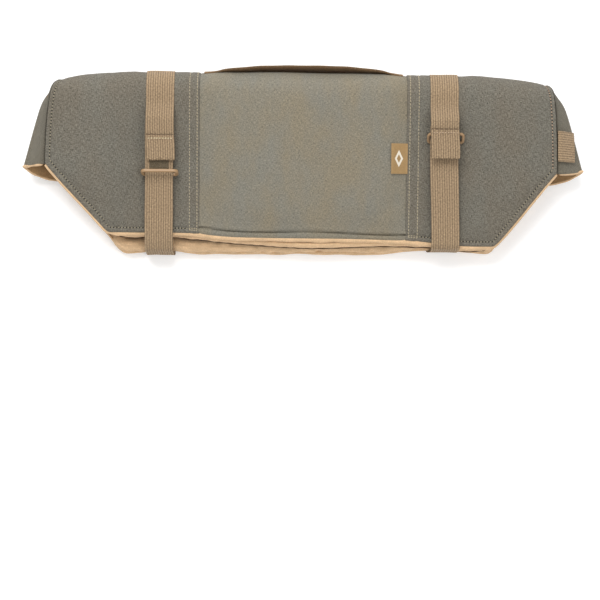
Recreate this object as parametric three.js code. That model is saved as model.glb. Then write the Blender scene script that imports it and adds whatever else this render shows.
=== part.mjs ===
// A padded fold-over cover for a long optic, lying on its back with the closing straps done up.
// Two padded panels meet in a rounded ridge and are open along the mouth. The two ends are closed
// by folded gussets, two webbing straps go round the cover and a webbing handle stands on the ridge.
// Millimetres, +Z up, +X along the cover, +Y from the mouth to the ridge. Origin: middle of the
// footprint, on the surface that the cover lies on.
import * as THREE from "three";

// ---- driving dimensions ------------------------------------------------------------------
const GAP = 0.3; // clearance between touching pieces
const WEBBING_WIDTH = 25.4; // one-inch webbing
const WEBBING = 1.3; // webbing thickness

const HALF_LENGTH = 220; // half length of the panels at the ridge
const SEAM_X = 93; // seams between the centre panel and the side panels
const RIDGE_Y = 81; // outermost line of the ridge
const RIDGE_RADIUS = 19;
const RIDGE_FLAT = 150; // the ridge is straight as far out as this, then drops to the ends
const RIDGE_DROP = 6.7;
const BACK_Z = 1.8; // outer face of the back panel, above the strap's back run
const MOUTH_THICKNESS = 25; // over both panels at the mouth
const SIDE_FLARE = 8; // the front panel's side edges lean out by this much

const FRONT = { corner: 171, bottom: -68.5, side: -5 }; // outline: bottom corner, edge, side corner
const BACK = { corner: 162, bottom: -78, side: -17.5 };
const BINDING = 3.2; // rolled lining edge past the outer fabric, at the mouth

// layers of a panel, as depths below its outer face
const SKIN = [0, 0.9];
const FOAM = [1.2, 4.8];
const LINING = [5.1, 6];
const EDGE = [0.6, 5.6];
const GUSSET_SKIN = [0, 0.9];
const GUSSET_LINING = [1.4, 3];

const STRAP_X = 127.5; // middle of each strap
const RING = { width: 33.5, height: 11.6, bar: 2.6, thick: 2.4, corner: 4, bevel: 0.5 };
const LOOP_LEVEL = 4.05; // middle of the lower strap run above the front panel
const PATCH = 0.6; // thickness of the hook patch and of the loop patch
// each strap end: hinge line, top of the hem, free edge, height over the panel, and the ring's place
const SIDES = {
  left: { sign: -1, hinge: 27, hem: 24, free: 0, level: 7, ring: -9.4, lean: 68, loopEnd: -6 },
  right: { sign: 1, hinge: 34, hem: 31, free: 6, level: 10.4, ring: 23, lean: 38, loopEnd: 7.5 },
};

const HANDLE = { half: 88, rise: 4.6 }; // half span and how far the middle stands off the ridge
const LABEL = { x: 79, width: 15, bottom: -6.5, height: 27.2, thick: 0.6 };
const PULL_TAB = { bottom: 4.4, height: 27, thick: 2.8, reach: 54 }; // reach: degrees round the gusset

// ---- sizes that follow -------------------------------------------------------------------
const HINGE_Y = RIDGE_Y - RIDGE_RADIUS; // where the front panel leaves the ridge's curve
const TOP_Z = BACK_Z + 2 * RIDGE_RADIUS;
const MIDDLE_Z = BACK_Z + RIDGE_RADIUS;
const FALL = (2 * RIDGE_RADIUS - MOUTH_THICKNESS) / (HINGE_Y - FRONT.bottom);
const TILT = Math.atan(FALL); // the front panel slopes down to the mouth
const STRAP_BOTTOM = BACK.bottom - BINDING - GAP - WEBBING;
const HANDLE_TOP = RIDGE_Y + GAP + HANDLE.rise + WEBBING;

const COLOURS = {
  centre: 0x918a7b,
  side: 0x797469,
  gusset: 0x7f7a6f,
  lining: 0xcfac7d,
  foam: 0x4a4a46,
  webbing: 0xa78f73,
  loop: 0x6f7060,
  plastic: 0xb6977b,
  label: 0xaf9067,
};

const lerp = THREE.MathUtils.lerp;
const clamp01 = (v) => THREE.MathUtils.clamp(v, 0, 1);
const degrees = THREE.MathUtils.degToRad;

// ---- closed solids -----------------------------------------------------------------------
const cover = new THREE.Group();
cover.position.y = -(HANDLE_TOP + STRAP_BOTTOM) / 2;
// what lies on the sloping front panel: +y runs up the slope from the hinge line, +z stands off it
const frontFace = new THREE.Group();
frontFace.position.set(0, HINGE_Y, TOP_Z);
frontFace.rotation.x = TILT;
cover.add(frontFace);
const upSlope = (y) => (y - HINGE_Y) / Math.cos(TILT);

function add(parent, name, geometry, colour, roughness = 0.95) {
  const mesh = new THREE.Mesh(
    geometry,
    new THREE.MeshStandardMaterial({ color: COLOURS[colour], roughness, metalness: 0 }),
  );
  mesh.name = name;
  parent.add(mesh);
  return mesh;
}

// A closed shell between two depths under a surface. at(i, j, depth) gives a point of the grid of
// rows × columns cells; outward says which way round the faces go.
function shell(at, rows, columns, [near, far], outward) {
  const corner = [];
  const place = [];
  for (const depth of [near, far])
    for (let i = 0; i <= rows; i++)
      for (let j = 0; j <= columns; j++) corner.push(...at(i / rows, j / columns, depth).toArray());
  const index = (layer, i, j) => (layer * (rows + 1) + i) * (columns + 1) + j;
  const quad = (a, b, c, d) => place.push(...(outward ? [a, b, c, a, c, d] : [a, c, b, a, d, c]));
  for (let i = 0; i < rows; i++)
    for (let j = 0; j < columns; j++) {
      quad(index(0, i, j), index(0, i + 1, j), index(0, i + 1, j + 1), index(0, i, j + 1));
      quad(index(1, i, j), index(1, i, j + 1), index(1, i + 1, j + 1), index(1, i + 1, j));
    }
  for (let i = 0; i < rows; i++) {
    quad(index(0, i, 0), index(1, i, 0), index(1, i + 1, 0), index(0, i + 1, 0));
    quad(index(0, i, columns), index(0, i + 1, columns), index(1, i + 1, columns), index(1, i, columns));
  }
  for (let j = 0; j < columns; j++) {
    quad(index(0, 0, j), index(0, 0, j + 1), index(1, 0, j + 1), index(1, 0, j));
    quad(index(0, rows, j), index(1, rows, j), index(1, rows, j + 1), index(0, rows, j + 1));
  }
  const geometry = new THREE.BufferGeometry();
  geometry.setAttribute("position", new THREE.Float32BufferAttribute(corner, 3));
  geometry.setIndex(place);
  geometry.computeVertexNormals();
  return geometry;
}

// An outline of [a, b] points extruded to a width, with the outline in the plane of two axes.
const PLANES = { yz: [1, 2, 0], xy: [0, 1, 2], zx: [2, 0, 1] };
function prism(outline, plane, width) {
  const shape = new THREE.Shape(outline.map(([a, b]) => new THREE.Vector2(a, b)));
  const geometry = new THREE.ExtrudeGeometry(shape, { depth: width, bevelEnabled: false });
  geometry.translate(0, 0, -width / 2);
  const axes = PLANES[plane].map((n) => new THREE.Vector3().setComponent(n, 1));
  return geometry.applyMatrix4(new THREE.Matrix4().makeBasis(...axes));
}

// A flat ribbon of webbing whose middle follows [a, b] points in a plane.
function ribbon(path, plane, width = WEBBING_WIDTH, thickness = WEBBING) {
  const points = path.map(([a, b]) => new THREE.Vector2(a, b));
  const side = (sign) =>
    points.map((p, i) => {
      const before = points[Math.max(i - 1, 0)];
      const after = points[Math.min(i + 1, points.length - 1)];
      const into = p.clone().sub(before).normalize();
      const out = after.clone().sub(p).normalize();
      const along = into.clone().add(out).normalize();
      const mitre = into.lengthSq() && out.lengthSq() ? Math.max(along.dot(into), 0.6) : 1;
      const step = (sign * thickness) / 2 / mitre;
      return [p.x - along.y * step, p.y + along.x * step];
    });
  return prism([...side(1), ...side(-1).reverse()], plane, width);
}

// Points of a circular arc, angles in degrees from the first axis to the second.
function arc(centreA, centreB, radius, from, to, steps) {
  return Array.from({ length: steps + 1 }, (_, i) => {
    const angle = degrees(lerp(from, to, i / steps));
    return [centreA + radius * Math.cos(angle), centreB + radius * Math.sin(angle)];
  });
}

// ---- the two panels ----------------------------------------------------------------------
function ridgeCentre(x) {
  const past = clamp01((Math.abs(x) - RIDGE_FLAT) / (HALF_LENGTH - RIDGE_FLAT));
  return HINGE_Y - RIDGE_DROP * past ** 2;
}

function lowerEdge(outline, x) {
  const past = clamp01((Math.abs(x) - outline.corner) / (HALF_LENGTH - outline.corner));
  return lerp(outline.bottom, outline.side, past);
}

function flare(x, y) {
  const past = clamp01((Math.abs(x) - FRONT.corner) / (HALF_LENGTH - FRONT.corner));
  return Math.sign(x) * SIDE_FLARE * past * clamp01((HINGE_Y - y) / (HINGE_Y - FRONT.side));
}

const frontZ = (x, y) => TOP_Z - FALL * Math.max(0, ridgeCentre(x) - y);

function frontPoint(x, y, depth) {
  return new THREE.Vector3(x + flare(x, y), y, frontZ(x, y) - depth);
}

// Round the ridge: turn 0 is where the front panel starts, 1 is where the back panel starts.
function ridgePoint(x, turn, depth) {
  const angle = Math.PI * turn;
  const radius = RIDGE_RADIUS - depth;
  const y = ridgeCentre(x) + radius * Math.sin(angle);
  return new THREE.Vector3(x, y, MIDDLE_Z + radius * Math.cos(angle));
}

const backPoint = (x, y, depth) => new THREE.Vector3(x, y, BACK_Z + depth);

// Stations along x from one end to the other, with one on every corner of the outline.
function stations(from, to) {
  const wanted = [-HALF_LENGTH, -FRONT.corner, -BACK.corner, -RIDGE_FLAT];
  wanted.push(0, RIDGE_FLAT, BACK.corner, FRONT.corner, HALF_LENGTH);
  for (const past of [186, 204]) wanted.push(-past, past);
  return [from, ...wanted.filter((x) => x > from + 1 && x < to - 1).sort((a, b) => a - b), to];
}

// A stretch of panel from station to station; down(x, share, depth) walks its rows. On the front
// panel the rows run away from the ridge, elsewhere they start by running to it.
function panel(from, to, rows, layer, down, isFront = false) {
  const xs = stations(from, to);
  const columns = xs.length - 1;
  const at = (i, j, depth) => down(xs[Math.round(j * columns)], i, depth);
  return shell(at, rows, columns, layer, isFront);
}

const frontDown = (x, share, depth) =>
  frontPoint(x, lerp(ridgeCentre(x) - GAP, lowerEdge(FRONT, x), share), depth);
const ridgeDown = (x, share, depth) => ridgePoint(x, lerp(0.005, 0.99, share), depth);
const backDown = (x, share, depth) =>
  backPoint(x, lerp(ridgeCentre(x) - GAP, lowerEdge(BACK, x), share), depth);
const RIDGE_ROWS = 10;
const FLAT_ROWS = 2;
// the back skins run on from the ridge without a break
function ridgeAndBackDown(x, share, depth) {
  const row = Math.round(share * (RIDGE_ROWS + FLAT_ROWS));
  if (row <= RIDGE_ROWS) return ridgePoint(x, lerp(0.005, 1, row / RIDGE_ROWS), depth);
  return backPoint(x, lerp(ridgeCentre(x), lowerEdge(BACK, x), (row - RIDGE_ROWS) / FLAT_ROWS), depth);
}
const bindingDown = (outline, point) => (x, share, depth) =>
  point(x, lowerEdge(outline, x) - lerp(GAP, BINDING, share), depth);

const PANELS = {
  left_side_panel: [-HALF_LENGTH, -SEAM_X - GAP / 2, "side"],
  centre_panel: [-SEAM_X + GAP / 2, SEAM_X - GAP / 2, "centre"],
  right_side_panel: [SEAM_X + GAP / 2, HALF_LENGTH, "side"],
};
for (const [name, [from, to, colour]] of Object.entries(PANELS)) {
  add(cover, "front_" + name, panel(from, to, 3, SKIN, frontDown, true), colour);
  add(cover, "back_" + name, panel(from, to, RIDGE_ROWS + FLAT_ROWS, SKIN, ridgeAndBackDown), colour);
}
const wholeLength = [-HALF_LENGTH, HALF_LENGTH];
add(cover, "front_foam_pad", panel(...wholeLength, 3, FOAM, frontDown, true), "foam");
add(cover, "ridge_foam_pad", panel(...wholeLength, RIDGE_ROWS, FOAM, ridgeDown), "foam");
add(cover, "back_foam_pad", panel(...wholeLength, 3, FOAM, backDown), "foam");
add(cover, "front_lining", panel(...wholeLength, 3, LINING, frontDown, true), "lining");
const backLining = panel(...wholeLength, RIDGE_ROWS + FLAT_ROWS, LINING, ridgeAndBackDown);
add(cover, "back_lining", backLining, "lining");
for (const [name, outline, point] of [
  ["front_mouth_binding", FRONT, frontPoint],
  ["back_mouth_binding", BACK, backPoint],
]) {
  const strip = panel(...wholeLength, 1, EDGE, bindingDown(outline, point), outline === FRONT);
  add(cover, name, strip, "lining");
}

// ---- the end gussets ---------------------------------------------------------------------
// the fold line seen from the front, from the end of the ridge down to the mouth
const FOLD = new THREE.SplineCurve([
  new THREE.Vector2(223.5, 72.5),
  new THREE.Vector2(228, 64),
  new THREE.Vector2(234, 53),
  new THREE.Vector2(239.5, 35),
  new THREE.Vector2(250, -4),
]);
const GUSSET_SPLIT = 0.475; // share of the fold line beside the ridge, above the front panel

// heights of the front seam and of the back seam beside a place on the end
function gussetSeams(y) {
  const over = y - ridgeCentre(HALF_LENGTH);
  if (over <= 0) return [frontZ(HALF_LENGTH, y), BACK_Z];
  const rise = Math.sqrt(RIDGE_RADIUS ** 2 - over ** 2);
  return [MIDDLE_Z + rise, MIDDLE_Z - rise];
}

// turn 0 is the seam with the front panel, 0.5 the fold, 1 the seam with the back panel
function gussetPoint(down, turn) {
  const fold = FOLD.getPoint(down);
  const angle = Math.PI * turn;
  const toFront = Math.cos(angle) > 0;
  const away = Math.abs(Math.cos(angle));
  const lowest = toFront ? FRONT.side : BACK.side;
  const y = lerp(fold.y, fold.y - (fold.y - lowest) * down ** 3, away);
  const seams = gussetSeams(y);
  const edge = HALF_LENGTH + GAP + (toFront ? Math.abs(flare(HALF_LENGTH, y)) : 0);
  const x = lerp(edge, Math.max(fold.x, edge + 1), Math.sin(angle));
  return new THREE.Vector3(x, y, lerp((seams[0] + seams[1]) / 2, seams[toFront ? 0 : 1], away));
}

// a point under the gusset's outer face; neither half crosses the height of the fold
function gussetOffset(down, turn, depth) {
  const step = 0.01;
  const t = THREE.MathUtils.clamp(turn, 0, 1 - step);
  const s = THREE.MathUtils.clamp(down, 0, 1 - step);
  const here = gussetPoint(s, t);
  const downward = gussetPoint(s + step, t).sub(here);
  const round = gussetPoint(s, t + step).sub(here);
  const inward = downward.cross(round).normalize();
  if (inward.x > 0) inward.negate();
  if (Math.abs(inward.x) < 0.05) inward.set(0, 0, turn < 0.5 ? -1 : 1);
  const point = gussetPoint(down, turn).addScaledVector(inward, depth);
  const seams = gussetSeams(FOLD.getPoint(down).y);
  const foldZ = (seams[0] + seams[1]) / 2;
  if (turn < 0.499) point.z = Math.max(point.z, foldZ + GAP / 2);
  if (turn > 0.501) point.z = Math.min(point.z, foldZ - GAP / 2);
  return point;
}

const LINING_TOP = 0.27; // the lining starts lower, inside the hollow of the ridge
const GUSSET_PARTS = {
  top: { down: [0, GUSSET_SPLIT - 0.01], turn: [0.02, 0.98], rows: 4, columns: 8 },
  front: { down: [GUSSET_SPLIT + 0.01, 1], turn: [0, 0.492], rows: 4, columns: 5 },
  back: { down: [GUSSET_SPLIT + 0.01, 1], turn: [0.508, 1], rows: 4, columns: 5 },
};
for (const [side, { sign }] of Object.entries(SIDES))
  for (const [part, { down, turn, rows, columns }] of Object.entries(GUSSET_PARTS))
    for (const [layer, depths, colour, highest] of [
      ["gusset", GUSSET_SKIN, "gusset", 0],
      ["gusset_lining", GUSSET_LINING, "lining", LINING_TOP],
    ]) {
      const at = (i, j, depth) => {
        const share = lerp(Math.max(down[0], highest), down[1], i);
        const point = gussetOffset(share, lerp(...turn, j), depth);
        point.x *= sign;
        return point;
      };
      add(cover, `${side}_${layer}_${part}`, shell(at, rows, columns, depths, sign > 0), colour);
    }

// ---- straps, strap ends and rings --------------------------------------------------------
const strapOver = WEBBING / 2 + GAP; // middle of the webbing over what it lies on
const backRun = WEBBING / 2;
const mouthY = STRAP_BOTTOM + WEBBING / 2;
const MOUTH_BEND = 2; // radius of the strap's bend under the back panel's edge
const ridgeStrap = [
  [mouthY + 2, 16.2],
  [mouthY, 9],
  [mouthY, 5],
  ...arc(mouthY + MOUTH_BEND, backRun + MOUTH_BEND, MOUTH_BEND, 190, 270, 3),
  ...arc(HINGE_Y, MIDDLE_Z, MIDDLE_Z - backRun, -90, 0, 6),
  ...arc(HINGE_Y, MIDDLE_Z, RIDGE_RADIUS + strapOver, 15, 88, 5),
];
const turnY = upSlope(-71);
const lowerStrap = [
  [upSlope(34), LOOP_LEVEL],
  [turnY, LOOP_LEVEL],
  [turnY - 6.5, LOOP_LEVEL - 2],
  [turnY - 9, -3],
  [turnY - 9.4, -8.5],
];

function roundedRectangle(path, width, height, radius) {
  const [w, h] = [width / 2 - radius, height / 2 - radius];
  path.absarc(w, h, radius, 0, Math.PI / 2);
  path.absarc(-w, h, radius, Math.PI / 2, Math.PI);
  path.absarc(-w, -h, radius, Math.PI, 1.5 * Math.PI);
  path.absarc(w, -h, radius, 1.5 * Math.PI, 2 * Math.PI);
  path.closePath();
  return path;
}

function ringGeometry() {
  const { width, height, bar, thick, corner, bevel } = RING;
  const outline = roundedRectangle(
    new THREE.Shape(),
    width - 2 * bevel,
    height - 2 * bevel,
    corner - bevel,
  );
  const inside = bar - bevel;
  outline.holes.push(
    roundedRectangle(new THREE.Path(), width - 2 * inside, height - 2 * inside, corner - inside),
  );
  const options = { depth: thick - 2 * bevel, bevelThickness: bevel, bevelSize: bevel };
  const geometry = new THREE.ExtrudeGeometry(outline, { ...options, bevelSegments: 1, curveSegments: 3 });
  return geometry.translate(0, 0, bevel - thick / 2);
}

const box = (x, y, z) => new THREE.BoxGeometry(x, y, z);

for (const [side, { sign, hinge, hem, free, level, ring, lean, loopEnd }] of Object.entries(SIDES)) {
  const strapX = sign * STRAP_X;
  const half = WEBBING / 2;
  add(cover, `${side}_strap_back`, ribbon(ridgeStrap, "yz"), "webbing").position.x = strapX;
  const upper = [
    [-0.8, strapOver],
    [-8, strapOver],
    [-12, strapOver + 1],
    [-22, level],
    [upSlope(hinge) + GAP, level],
  ];
  add(frontFace, `${side}_strap_upper`, ribbon(upper, "yz"), "webbing").position.x = strapX;
  add(frontFace, `${side}_strap_lower`, ribbon(lowerStrap, "yz"), "webbing").position.x = strapX;
  const fold = [
    [upSlope(hinge), level - half],
    [upSlope(hinge), level + half],
    [upSlope(hem), level + half],
    [upSlope(hem), level + half + WEBBING],
    [upSlope(free) + 1, level + half + WEBBING],
    [upSlope(free), level + half],
    [upSlope(free) + 1, level - half],
  ];
  add(frontFace, `${side}_strap_end`, prism(fold, "yz", WEBBING_WIDTH), "webbing").position.x = strapX;

  const hookLength = hem - free - 5;
  const hook = add(frontFace, `${side}_hook_patch`, box(20, hookLength, PATCH), "loop");
  hook.position.set(strapX, upSlope(free + 2 + hookLength / 2), level - half - 0.15 - PATCH / 2);
  const loopLength = 30 - loopEnd;
  const loop = add(frontFace, `${side}_loop_patch`, box(17, loopLength, PATCH), "loop");
  loop.position.set(strapX, upSlope(loopEnd + loopLength / 2), LOOP_LEVEL + half + 0.15 + PATCH / 2);

  const keeper = add(frontFace, `${side}_keeper_ring`, ringGeometry(), "plastic", 0.5);
  const angle = degrees(lean);
  const lift = ((RING.height - RING.bar) / 2) * Math.sin(angle) + 1.44;
  keeper.rotation.x = angle;
  keeper.position.set(strapX, upSlope(ring), 0.25 + lift);
}

// ---- handle, label and pull tab ----------------------------------------------------------
const arch = Array.from({ length: 17 }, (_, i) => {
  const x = lerp(-HANDLE.half, HANDLE.half, i / 16);
  return [x, RIDGE_Y + GAP + WEBBING / 2 + HANDLE.rise * (1 - (x / HANDLE.half) ** 2)];
});
add(cover, "carry_handle", ribbon(arch, "xy"), "webbing").position.z = MIDDLE_Z;

const label = add(frontFace, "side_label", box(LABEL.width, LABEL.height, LABEL.thick), "label");
label.position.set(
  LABEL.x + LABEL.width / 2,
  upSlope(LABEL.bottom + LABEL.height / 2),
  GAP + LABEL.thick / 2,
);

// the pull tab lies round the right gusset, which is widest at the tab's lower edge
const tabSeam = HALF_LENGTH + Math.abs(flare(HALF_LENGTH, PULL_TAB.bottom));
const tabFold = 248.5;
const tabDrop = 16.5;
const tabOver = GAP + PULL_TAB.thick / 2;
const endRise = FALL * RIDGE_DROP; // the front panel's end stands this much over its middle plane
const tabPath = Array.from({ length: 6 }, (_, i) => {
  const angle = degrees(lerp(3, PULL_TAB.reach, i / 5));
  const x = tabSeam + (tabFold - tabSeam + tabOver) * Math.sin(angle);
  return [endRise + (tabDrop + tabOver) * Math.cos(angle) - tabDrop, x];
});
const tab = ribbon(tabPath, "zx", PULL_TAB.height, PULL_TAB.thick);
add(frontFace, "pull_tab", tab, "webbing").position.y = upSlope(PULL_TAB.bottom + PULL_TAB.height / 2);

export default cover;
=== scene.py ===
"""Looks of a padded fold-over optic cover: puffed fabric panels, folded gussets, webbing and stitching.

Lengths here are millimetres in the row frame, and turn into metres when a mesh is made. +Y runs from the
open mouth to the ridge, +Z out of the front panel, and the cover lies on its back at z = 0.
"""

import math

import bpy
import numpy as np
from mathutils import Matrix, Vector


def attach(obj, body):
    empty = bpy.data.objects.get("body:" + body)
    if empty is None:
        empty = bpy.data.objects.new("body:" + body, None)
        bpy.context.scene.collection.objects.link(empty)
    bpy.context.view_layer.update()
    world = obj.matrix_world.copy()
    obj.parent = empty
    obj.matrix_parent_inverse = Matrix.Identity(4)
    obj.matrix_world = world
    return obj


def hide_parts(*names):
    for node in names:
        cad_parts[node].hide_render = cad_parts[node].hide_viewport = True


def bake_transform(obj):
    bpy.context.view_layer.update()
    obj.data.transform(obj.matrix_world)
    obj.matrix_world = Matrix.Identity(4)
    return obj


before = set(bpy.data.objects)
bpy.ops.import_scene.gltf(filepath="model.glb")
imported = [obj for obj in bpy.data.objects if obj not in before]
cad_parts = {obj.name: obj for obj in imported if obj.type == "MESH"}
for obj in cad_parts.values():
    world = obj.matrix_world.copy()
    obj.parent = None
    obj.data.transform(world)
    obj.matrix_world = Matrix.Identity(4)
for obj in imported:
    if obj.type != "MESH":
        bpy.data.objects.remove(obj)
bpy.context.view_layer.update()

MM = 0.001

# ---- sizes shared with the CAD frame -----------------------------------------------------------
HALF_LENGTH = 220.0
SEAM_X = 93.0
HINGE_Y = 59.8
RIDGE_RADIUS = 19.0
RIDGE_FLAT, RIDGE_DROP = 150.0, 6.7
BACK_Z = 1.8
MIDDLE_Z = BACK_Z + RIDGE_RADIUS
TOP_Z = BACK_Z + 2 * RIDGE_RADIUS
FRONT_RUN = 130.5  # from the hinge down to the front's lower edge
FALL = (TOP_Z - BACK_Z - 25.0) / FRONT_RUN
STRAP_X = 127.5
WEBBING_WIDTH, WEBBING = 25.4, 1.3
RIBS = 12  # ribs over the width of the webbing
ARC_LENGTH = math.pi * RIDGE_RADIUS

# ---- outlines, where the soft cover sits a little unevenly; pairs are for the left and the right -----
# corner: where a lower edge turns up to the end, side: its height at the end, slant and steps: its height
# along the middle, pull and reach: how far and how widely a strap draws it in
FRONT_EDGE = {
    "corner": (176.0, 173.5), "bottom": -69.6, "side": (-4.6, -9.6), "slant": -0.012,
    "steps": (2.2, -4.5), "pull": (0.0, 0.0), "reach": (22.0, 22.0),
}
BACK_EDGE = {
    "corner": (162.0, 171.0), "bottom": -80.2, "side": (-19.7, -19.7), "slant": 0.0,
    "steps": (-1.0, -1.0), "pull": (2.6, 5.6), "reach": (22.0, 40.0),
}
SIDE_FLARE = (12.6, 8.8)
ENDS = (("left", -1), ("right", 1))

# ---- sizes of the sewing -----------------------------------------------------------------------
EDGE_STITCH, END_STITCH = 4.6, 3.0
SEAM_STITCHES = ((2.0, 2.8), (8.8, 10.6))
STITCH_PITCH, STITCH_LENGTH, THREAD = 2.9, 2.2, 0.42
PAD = 5.0  # outer fabric and foam together
HEM = 5.6  # fold line over the centre panel's lower edge
RIM_STEPS = (0, 0.5, 1.1, 1.8, 2.7, 3.6, 4.5, 5.4, 6.6, 8.2)  # close stations beside a sewn edge
SHARP_ANGLE = 55  # degrees between faces that are shaded apart


# ---- small helpers -----------------------------------------------------------------------------
def smooth(value):
    value = np.clip(value, 0, 1)
    return value * value * (3 - 2 * value)


def bump(distance, width):
    return np.exp(-((distance / width) ** 2))


def normalized(vectors):
    """The same directions, each of length 1."""
    return vectors / np.maximum(np.linalg.norm(vectors, axis=-1, keepdims=True), 1e-9)


def travel(points):
    """How far along a line of points each of them lies."""
    return np.concatenate([[0], np.cumsum(np.linalg.norm(np.diff(points, axis=0), axis=1))])


def read_along(places, travelled, line):
    """The points at places along a line."""
    return np.stack([np.interp(places, travelled, line[:, k]) for k in range(line.shape[1])], -1)


def waves(a, b, seed, lengths, count=7):
    """Soft random undulation of about unit height, the same each run: a sum of plane waves."""
    draw = np.random.default_rng(seed)
    total = np.zeros(np.broadcast(a, b).shape)
    for _ in range(count):
        turn, phase = draw.uniform(0, math.tau, 2)
        length = draw.uniform(*lengths)
        total += np.sin(math.tau * (a * math.cos(turn) + b * math.sin(turn)) / length + phase)
    return total / math.sqrt(count)


def spread(low, high, step, fine=RIM_STEPS):
    """Stations from low to high, close together at both ends."""
    fine = np.array(fine)
    room = high - low - 2 * fine[-1]
    inner = np.arange(1, max(2, round(room / step)))
    inner = low + fine[-1] + room * inner / (inner[-1] + 1)
    return np.concatenate([low + fine, inner, (high - fine)[::-1]])


def linked(name, data):
    """A new object in the scene."""
    made = bpy.data.objects.new(name, data)
    bpy.context.scene.collection.objects.link(made)
    return made


def mesh_object(name, points, faces, uv=None, material=None):
    """points in millimetres; uv is one pair for each point."""
    mesh = bpy.data.meshes.new(name)
    mesh.from_pydata((np.asarray(points) * MM).tolist(), [], [list(map(int, f)) for f in faces])
    if uv is not None:
        layer = mesh.uv_layers.new(name="cloth")
        corner = np.zeros(len(mesh.loops), np.int32)
        mesh.loops.foreach_get("vertex_index", corner)
        layer.data.foreach_set("uv", np.asarray(uv, np.float32)[corner].ravel())
    mesh.validate()
    mesh.polygons.foreach_set("use_smooth", [True] * len(mesh.polygons))
    mesh.set_sharp_from_angle(angle=math.radians(SHARP_ANGLE))
    if material:
        mesh.materials.append(material)
    return linked(name, mesh)


def grid_faces(rows, columns, start=0, flip=False, wrap=False):
    i, j = np.meshgrid(np.arange(rows - 1), np.arange(columns if wrap else columns - 1), indexing="ij")
    k = (j + 1) % columns
    quads = np.stack([i * columns + j, i * columns + k, (i + 1) * columns + k, (i + 1) * columns + j], -1)
    quads = quads.reshape(-1, 4) + start
    return quads[:, ::-1] if flip else quads


def tube_faces(rows, columns, flip=False):
    """Faces of a tube through rings of points, with a cap at both ends."""
    caps = [list(range(columns))[::-1], list(range((rows - 1) * columns, rows * columns))]
    if flip:
        caps = [cap[::-1] for cap in caps]
    return grid_faces(rows, columns, 0, flip, wrap=True).tolist() + caps


def closed_sheet(name, outer, inner, uv, material, flip=False):
    """A closed form between two grids of points, joined all round their edges."""
    rows, columns = outer.shape[:2]
    count = rows * columns
    points = np.concatenate([outer.reshape(-1, 3), inner.reshape(-1, 3)])
    faces = [grid_faces(rows, columns, 0, flip), grid_faces(rows, columns, count, not flip)]
    index = np.arange(count).reshape(rows, columns)
    border = np.concatenate([index[0, :-1], index[:-1, -1], index[-1, :0:-1], index[:0:-1, 0]])
    after = np.roll(border, -1)
    wall = np.stack([border, border + count, after + count, after], -1)
    faces.append(wall[:, ::-1] if flip else wall)
    uvs = np.concatenate([uv.reshape(-1, 2)] * 2)
    return mesh_object(name, points, np.concatenate(faces), uvs, material)


# ---- materials ---------------------------------------------------------------------------------
STUDIO = 0.79  # reflectance that shows as 1 under this scene's light


def srgb(red, green, blue):
    return [STUDIO * ((c / 255 + 0.055) / 1.055) ** 2.4 for c in (red, green, blue)]


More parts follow.
